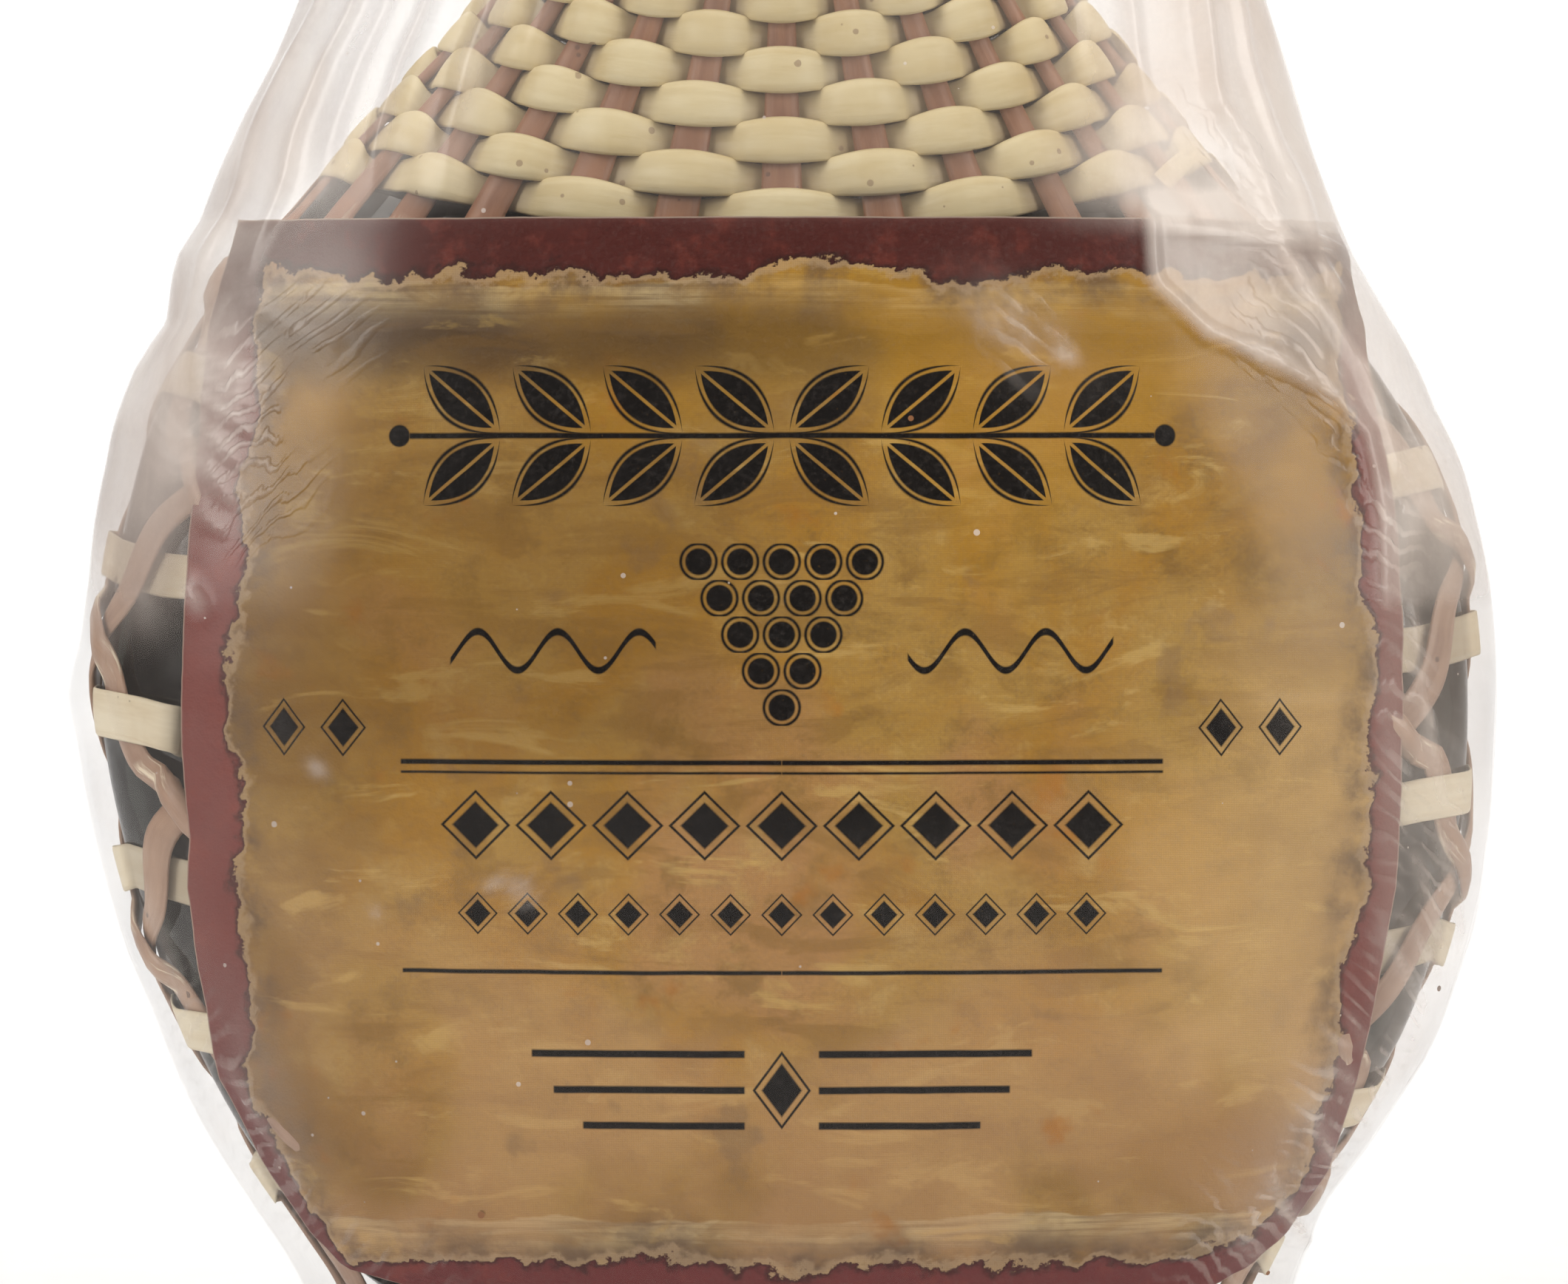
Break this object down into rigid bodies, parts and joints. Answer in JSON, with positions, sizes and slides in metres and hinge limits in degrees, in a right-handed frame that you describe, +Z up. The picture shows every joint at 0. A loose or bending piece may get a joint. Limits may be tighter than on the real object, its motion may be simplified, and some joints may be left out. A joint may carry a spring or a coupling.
{
  "type": "wicker wine bottle",
  "caption": "Flat round flask of dark glass in a woven willow cover, with a large front label under clear shrink film and a cork stopper that pulls out.",
  "frame": {"origin": "centre of the underside, on the ground", "axes": "+Z up along the neck, +X to the right of the label, -Y towards the viewer who faces the label"},
  "size_m": [0.1978, 0.0764, 0.2728],
  "materials": {
    "dark_glass": "smooth dark blown glass",
    "mat_willow": "matt peeled willow",
    "border_willow": "matt willow with its bark worn",
    "binding_willow": "matt white willow",
    "strip_willow": "matt split white willow",
    "rod_willow": "smooth tan willow",
    "weaver_willow": "matt split white willow",
    "label_paper": "matt printed paper",
    "clear_film": "glossy wrinkled clear film",
    "cork": "matt cork",
    "head_plastic": "smooth dark plastic"
  },
  "bodies": {
    "bottle": {"glass_flask": "dark_glass", "base_mat": "mat_willow", "foot_border": "border_willow", "neck_binding": "binding_willow", "lattice_strip": "strip_willow", "front_label": "label_paper", "film_front": "clear_film", "film_back": "clear_film", "stake_01": "rod_willow", "stake_02": "rod_willow", "stake_03": "rod_willow", "stake_04": "rod_willow", "stake_05": "rod_willow", "stake_06": "rod_willow", "stake_07": "rod_willow", "stake_08": "rod_willow", "stake_09": "rod_willow", "stake_10": "rod_willow", "stake_11": "rod_willow", "stake_12": "rod_willow", "stake_13": "rod_willow", "stake_14": "rod_willow", "stake_15": "rod_willow", "stake_16": "rod_willow", "stake_17": "rod_willow", "stake_18": "rod_willow", "stake_19": "rod_willow", "stake_20": "rod_willow", "stake_21": "rod_willow", "stake_22": "rod_willow", "stake_23": "rod_willow", "stake_24": "rod_willow", "stake_25": "rod_willow", "stake_26": "rod_willow", "stake_27": "rod_willow", "shoulder_weaver_01": "weaver_willow", "shoulder_weaver_02": "weaver_willow", "shoulder_weaver_03": "weaver_willow", "shoulder_weaver_04": "weaver_willow", "shoulder_weaver_05": "weaver_willow", "shoulder_weaver_06": "weaver_willow", "shoulder_weaver_07": "weaver_willow", "shoulder_weaver_08": "weaver_willow", "shoulder_weaver_09": "weaver_willow", "shoulder_weaver_10": "weaver_willow", "shoulder_weaver_11": "weaver_willow", "shoulder_weaver_12": "weaver_willow"},
    "stopper": {"stopper_cork": "cork", "stopper_head": "head_plastic"}
  },
  "joints": [
    {"name": "stopper_pull", "type": "slide", "parent": "bottle", "child": "stopper", "axis": [0, 0, 1], "range_m": [0, 0.045]}
  ]
}
